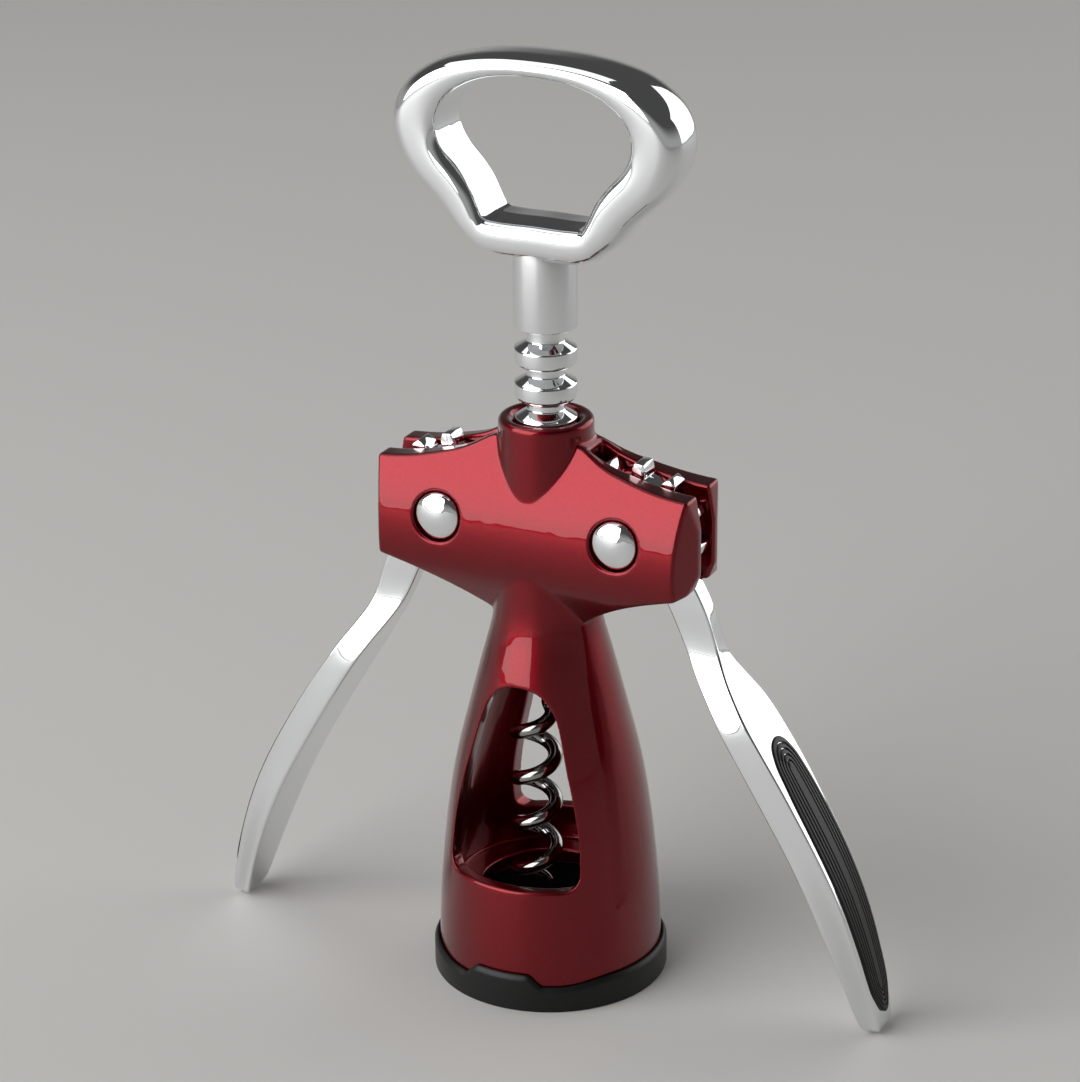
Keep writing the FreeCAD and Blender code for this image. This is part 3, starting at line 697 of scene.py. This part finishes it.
class CORKSCREW_OT_levers(bpy.types.Operator):
    """Cast lever arms with gear teeth about their pivots, polished and chrome plated."""
    bl_idname = "corkscrew.levers"
    bl_label = "Levers"

    inner = [(3.7, -6.3), (6.9, -12.3), (11.0, -21.0), (17.3, -30.3), (26.0, -44.3), (36.0, -62.3),
             (42.9, -79.0), (45.3, -86.4), (46.0, -89.0)]
    outer = [(9.3, -3.5), (14.2, -12.3), (17.6, -21.8), (23.3, -30.3), (32.3, -44.3), (41.8, -62.3),
             (47.3, -79.0), (49.0, -86.0), (49.4, -89.0)]
    half_widths = [(2.1, 2.1, 0.0), (2.1, 2.1, -12.0), (2.1, 2.1, -19.3), (2.35, 2.3, -20.9),
                   (4.3, 4.2, -25.3), (6.2, 6.0, -30.2), (6.85, 6.35, -32.6), (7.0, 6.5, -36.0),
                   (7.0, 6.5, -44.3), (6.8, 6.3, -53.3), (6.7, 5.8, -62.3), (6.2, 5.1, -72.3),
                   (5.1, 4.0, -81.3), (3.6, 3.2, -89.0)]
    line_steps, width_steps = 8, 6
    # the arm's sections: from its top in even steps, and round the tip by these angles
    arm_top, arm_step, arm_rings = -4.0, 1.6, 51
    round_from, round_to = -85.6, -88.0
    tip_angles, tip_power = (20, 38, 54, 68, 79, 87), 0.6
    # a section's broken edges and crown, as shares of the edge and of the crown
    least_edge, edge_cut, edge_end = 0.4, 0.29, 2.4
    crown_middle, crown_side, full_width = 0.75, 0.15, 6.5
    # the gear: its radii, half a tooth's angle at the base circle, its hub and its bore
    teeth, first_tooth, last_tooth = 12, -6, 1
    base_radius, tip_radius, root_radius = 11.276, 13.1, 10.6
    tooth_half, tooth_steps, hub_steps = 0.118, 4, 16
    mesh_phase = 7.0
    gear_half, gear_edge = 2.15, 0.22
    bore_radius, bore_length, bore_steps = 3.06, 17.2, 64

    def execute(self, context):
        sizes = context.scene.corkscrew_levers
        for side in SIDES:
            piece = loose_object(side + "_lever_arm", self.arm(sizes))
            subdivided(piece, 2)
            baked(piece)
            combined(piece, plate(self.gear_outline(), self.gear_half, self.gear_edge), "UNION")
            bore = bmesh.new()
            bmesh.ops.create_cone(bore, cap_ends=True, segments=self.bore_steps, depth=self.bore_length,
                                  radius1=self.bore_radius, radius2=self.bore_radius)
            bmesh.ops.rotate(bore, matrix=Matrix.Rotation(math.radians(90), 3, "X"), verts=bore.verts)
            combined(piece, bore, "DIFFERENCE")
            piece.data.transform(Matrix.Translation(pivot_place("right")))
            finished(on_side(piece, side), side + "_lever", side + "_wing",
                     mirror_chrome, flat_angle=38)
        return {"FINISHED"}

    def arm(self, sizes):
        """The arm from the hub to its rounded tip, about the pivot."""
        inner, outer = [smooth_line([(x, 0, z) for x, z in points], self.line_steps)
                        for points in (self.inner, self.outer)]
        widths = smooth_line(self.half_widths, self.width_steps)
        rings = [(self.arm_top - self.arm_step * k, 1.0) for k in range(self.arm_rings)]
        for degrees in self.tip_angles:
            angle = math.radians(degrees)
            z = self.round_from - (self.round_from - self.round_to) * math.sin(angle)
            rings.append((z, math.cos(angle) ** self.tip_power))
        return lofted([self.section(at_height(inner, z), at_height(outer, z), at_height(widths, z),
                                    shrink, sizes) for z, shrink in rings])

    def section(self, inside, outside, width, shrink, sizes):
        """A box section with broken edges and a crowned outer face."""
        c = sizes.edge * (self.least_edge + (1 - self.least_edge) * shrink)
        cut, end = self.edge_cut * c, self.edge_end * c
        middle = (inside + outside) / 2
        half = (outside.x - inside.x) / 2 * shrink
        wi, wo = width.x * shrink, width.y * shrink
        crown = sizes.crown * (wo / self.full_width) ** 2
        quarter = [(half + crown, 0), (half + self.crown_middle * crown, wo / 2),
                   (half + self.crown_side * crown, wo - 2 * c), (half, wo - c), (half - cut, wo - cut),
                   (half - c, wo), (half - end, wo), (0, (wi + wo) / 2), (-half + end, wi),
                   (-half + c, wi), (-half + cut, wi - cut), (-half, wi - c), (-half, wi - end),
                   (-half, 0)]
        full = quarter + [(x, -y) for x, y in quarter[-2:0:-1]]
        return [middle + X * x + Y * y for x, y in full]

    def gear_outline(self):
        """The hub with its involute teeth, as (x, z) from the pivot."""
        outline = []
        tooth_angle = 2 * math.pi / self.teeth
        start = math.radians(180 - self.mesh_phase)
        for k in range(self.first_tooth, self.last_tooth + 1):
            centre = start + tooth_angle * k
            flank = [(self.root_radius, self.tooth_half)]
            for step in range(self.tooth_steps + 1):
                r = self.base_radius + (self.tip_radius - self.base_radius) * step / self.tooth_steps
                lean = math.acos(self.base_radius / r)
                flank.append((r, self.tooth_half - math.tan(lean) + lean))
            outline += [(r, centre - swing) for r, swing in flank]
            outline += [(r, centre + swing) for r, swing in flank[::-1]]
            outline.append((self.root_radius, centre + tooth_angle / 2))
        rest = 2 * math.pi - tooth_angle * (self.last_tooth - self.first_tooth + 1)
        end = outline[-1][1]
        outline += [(self.root_radius, end + rest * k / self.hub_steps)
                    for k in range(1, self.hub_steps)]
        return [(r * math.cos(a), r * math.sin(a)) for r, a in outline]


class CORKSCREW_OT_grips(bpy.types.Operator):
    """Ribbed rubber inlays in the outer faces of the arms."""
    bl_idname = "corkscrew.grips"
    bl_label = "Grips"

    outline = [(0.0, -35.0), (2.2, -35.6), (3.9, -38.0), (4.7, -42.0), (5.1, -50.0), (4.8, -61.0),
               (4.1, -72.0), (2.6, -81.0), (0.0, -84.2)]
    spine_top, spine_foot = -40.2, -79.0
    depth, proud, steps, crown_half = 0.9, 0.3, 8, 6.0
    # the rounded rim as (share of the way out from the spine, millimetres under the face)
    rim = [(1.0, 0.3), (0.985, 0.08), (0.955, 0.0)]
    # the band of grooves, as shares of the way out, and a groove as (share across, share of its depth)
    grooves_from, grooves_to = 0.93, 0.2
    groove = [(0.5, 0.0), (0.62, 0.6), (0.75, 1.0), (0.88, 0.6), (1.0, 0.0)]

    def execute(self, context):
        sizes = context.scene.corkscrew_levers
        for side in SIDES:
            piece = loose_object(side + "_grip_inlay", self.inlay(sizes))
            piece.data.transform(Matrix.Translation(pivot_place("right")))
            finished(on_side(piece, side), side + "_grip", side + "_wing",
                     moulded_rubber, flat_angle=50)
        return {"FINISHED"}

    def inlay(self, sizes):
        """Nested loops from the outline in to the spine, which rise and fall over the grooves."""
        half = smooth_line([(0, y, z) for y, z in self.outline], self.steps, Y, -Y)
        loop = half + [Vector((0, -p.y, p.z)) for p in half[-2:0:-1]]
        face = smooth_line([(x, 0, z) for x, z in CORKSCREW_OT_levers.outer], self.steps)
        levels = [(1.0, -self.depth)] + [(share, self.proud - drop) for share, drop in self.rim]
        wide = (self.grooves_from - self.grooves_to) / sizes.grooves
        for k in range(sizes.grooves):
            at = self.grooves_from - wide * k
            levels += [(at - share * wide, self.proud - drop * sizes.groove_depth)
                       for share, drop in self.groove]
        levels.append((0.0, self.proud))
        rings = [[self.point(p, share, lift, face, sizes) for p in loop] for share, lift in levels]
        bm = bmesh.new()
        first = [bm.verts.new(place) for place in rings[0]]
        ring = first
        for places in rings[1:]:
            ring = grown_ring(bm, ring, places)
        bmesh.ops.contextual_create(bm, geom=ring_edges(bm, first))
        bmesh.ops.remove_doubles(bm, verts=bm.verts, dist=1e-3)
        bmesh.ops.recalc_face_normals(bm, faces=bm.faces)
        return bm

    def point(self, place, share, lift, face, sizes):
        """A place of the outline, drawn in to the spine by share and lifted off the arm's face."""
        spine = Vector((0, 0, min(self.spine_top, max(self.spine_foot, place.z))))
        spot = spine.lerp(place, share)
        crown = sizes.crown * max(0.0, 1 - (spot.y / self.crown_half) ** 2)
        return Vector((at_height(face, spot.z).x + crown + lift, spot.y, spot.z))


class CORKSCREW_OT_pivots(bpy.types.Operator):
    """Pivot pins and the caps on their ends, with low pointed domes."""
    bl_idname = "corkscrew.pivots"
    bl_label = "Pivots"

    head = [(4.35, 0.0), (4.35, 1.25), (4.15, 1.75), (3.4, 2.2), (2.3, 2.55), (1.15, 2.82), (0.0, 2.95)]
    shank_radius, seat, cap_gap = 3.0, 7.6, 0.02
    steps, head_steps = 64, 4

    def execute(self, context):
        dome = smooth_line(self.head[1:], self.head_steps)[1:]
        head = self.head[:2] + [(p.x, p.y) for p in dome]
        foot = self.cap_gap - 2 * self.seat
        shank = [(0, foot), (self.shank_radius, foot), (self.shank_radius, 0)]
        for side in SIDES:
            centre = pivot_place(side)
            pin = turned(shank + head, self.steps)
            pin = turned_to_front(pin, centre - Y * self.seat)
            cap = turned([(0, 0)] + head, self.steps)
            cap = turned_to_front(cap, centre + Y * self.seat, front=False)
            for bm, kind in ((pin, "pin"), (cap, "cap")):
                node = side + "_pivot_" + kind
                piece = loose_object(node + "_domed", bm)
                finished(piece, node, "frame", mirror_chrome, flat_angle=40)
        return {"FINISHED"}


class CORKSCREW_OT_stage(bpy.types.Operator):
    """Plain floor, soft lamps and the camera."""
    bl_idname = "corkscrew.stage"
    bl_label = "Stage"

    # name, place, width and height in metres, power in watts
    lamps = (
        ("key_softbox", (-0.75, -1.17, 0.71), 1.65, 1.5, 29.0),
        ("back_softbox", (0.90, 1.26, 0.59), 1.8, 1.2, 11.0),
        ("top_softbox", (-0.63, 0.0, 1.46), 1.35, 1.2, 6.7),
    )
    lamp_aim = Vector((0, 0, 0.08))
    floor_radius, floor_steps, floor_roughness = 6.0, 96, 0.6
    # far out the floor fades to an even haze, which the sky takes up at the horizon and dims upwards
    fade_start, fade_end = 0.9, 1.9
    haze_tint, haze_level = (1.0, 0.99, 0.97, 1), 0.36
    sky_start, sky_end, sky_level = 0.02, 0.38, 0.07
    sensor_width, clip_start, clip_end = 36.0, 0.01, 50.0

    def execute(self, context):
        scene = context.scene
        sizes = scene.corkscrew_stage
        self.add_floor(sizes)
        self.add_lamps(scene)
        self.add_camera(scene, sizes)
        return {"FINISHED"}

    def add_floor(self, sizes):
        """A round board in matt paint."""
        bm = bmesh.new()
        bmesh.ops.create_circle(bm, cap_ends=True, radius=self.floor_radius, segments=self.floor_steps)
        floor = loose_object("floor", bm)
        material, tree, shader, place = new_material("painted_board")
        shader.inputs["Base Color"].default_value = sizes.floor_colour
        shader.inputs["Roughness"].default_value = self.floor_roughness
        surface = shader.outputs["BSDF"].links[0].to_socket
        distance = add_node(tree, "ShaderNodeVectorMath", {"operation": "LENGTH"}, {0: place})
        far = add_node(tree, "ShaderNodeMapRange", {"interpolation_type": "SMOOTHSTEP"}, {
            "Value": distance.outputs["Value"], "From Min": self.fade_start, "From Max": self.fade_end})
        haze = add_node(tree, "ShaderNodeEmission", {}, {
            "Color": self.haze_tint, "Strength": self.haze_level})
        mixed = add_node(tree, "ShaderNodeMixShader", {}, {
            0: far.outputs["Result"], 1: shader.outputs["BSDF"], 2: haze.outputs["Emission"]})
        tree.links.new(mixed.outputs["Shader"], surface)
        floor.data.materials.append(material)

    def add_lamps(self, scene):
        world = bpy.data.worlds.new("studio")
        scene.world = world
        world.use_nodes = True
        tree = world.node_tree
        direction = add_node(tree, "ShaderNodeTexCoord").outputs["Generated"]
        height = add_node(tree, "ShaderNodeSeparateXYZ", {}, {"Vector": direction}).outputs["Z"]
        level = add_node(tree, "ShaderNodeMapRange", {"interpolation_type": "SMOOTHSTEP"}, {
            "Value": height, "From Min": self.sky_start, "From Max": self.sky_end,
            "To Min": self.haze_level, "To Max": self.sky_level})
        tree.nodes["Background"].inputs["Color"].default_value = self.haze_tint
        tree.links.new(level.outputs["Result"], tree.nodes["Background"].inputs["Strength"])
        for name, place, wide, tall, power in self.lamps:
            lamp = bpy.data.lights.new(name, "AREA")
            lamp.shape = "RECTANGLE"
            lamp.size = wide
            lamp.size_y = tall
            lamp.energy = power
            holder = bpy.data.objects.new(name, lamp)
            scene.collection.objects.link(holder)
            holder.visible_camera = False
            holder.location = place
            holder.rotation_euler = (self.lamp_aim - Vector(place)).to_track_quat("-Z", "Y").to_euler()

    def add_camera(self, scene, sizes):
        data = bpy.data.cameras.new("camera")
        data.lens = sizes.focal_length
        data.sensor_width = self.sensor_width
        data.clip_start = self.clip_start
        data.clip_end = self.clip_end
        camera = bpy.data.objects.new("camera", data)
        scene.collection.objects.link(camera)
        level = math.cos(sizes.elevation)
        away = Vector((math.sin(sizes.azimuth) * level, -math.cos(sizes.azimuth) * level,
                       math.sin(sizes.elevation)))
        camera.location = Vector(sizes.target) + away * sizes.distance
        turn = (-away).to_track_quat("-Z", "Y") @ Quaternion(Z, sizes.roll)
        camera.rotation_euler = turn.to_euler()
        scene.camera = camera


OPERATORS = (
    CORKSCREW_OT_frame_body, CORKSCREW_OT_base_ring, CORKSCREW_OT_rack_spindle, CORKSCREW_OT_stop_ring,
    CORKSCREW_OT_worm, CORKSCREW_OT_opener_handle, CORKSCREW_OT_levers, CORKSCREW_OT_grips,
    CORKSCREW_OT_pivots, CORKSCREW_OT_stage)


class CORKSCREW_PT_pieces(bpy.types.Panel):
    """Lists the pieces of the corkscrew."""
    bl_label = "Wing Corkscrew"
    bl_idname = "CORKSCREW_PT_pieces"
    bl_space_type = "VIEW_3D"
    bl_region_type = "UI"
    bl_category = "Corkscrew"

    def draw(self, context):
        for operator in OPERATORS:
            self.layout.operator(operator.bl_idname)


SETTINGS = {
    "corkscrew_frame": CorkscrewFrameSettings,
    "corkscrew_spindle": CorkscrewSpindleSettings,
    "corkscrew_handle": CorkscrewHandleSettings,
    "corkscrew_levers": CorkscrewLeverSettings,
    "corkscrew_stage": CorkscrewStageSettings,
}
CLASSES = tuple(SETTINGS.values()) + OPERATORS + (CORKSCREW_PT_pieces,)


def register():
    for kind in CLASSES:
        bpy.utils.register_class(kind)
    for name, kind in SETTINGS.items():
        setattr(bpy.types.Scene, name, PointerProperty(type=kind))


def unregister():
    for name in SETTINGS:
        delattr(bpy.types.Scene, name)
    for kind in reversed(CLASSES):
        bpy.utils.unregister_class(kind)


def corners(box):
    return [list(corner) for corner in box]


def main():
    register()
    for operator in OPERATORS:
        group, name = operator.bl_idname.split(".")
        getattr(getattr(bpy.ops, group), name)()
    bpy.context.scene.view_settings.view_transform = "Standard"


if __name__ == "__main__":
    main()
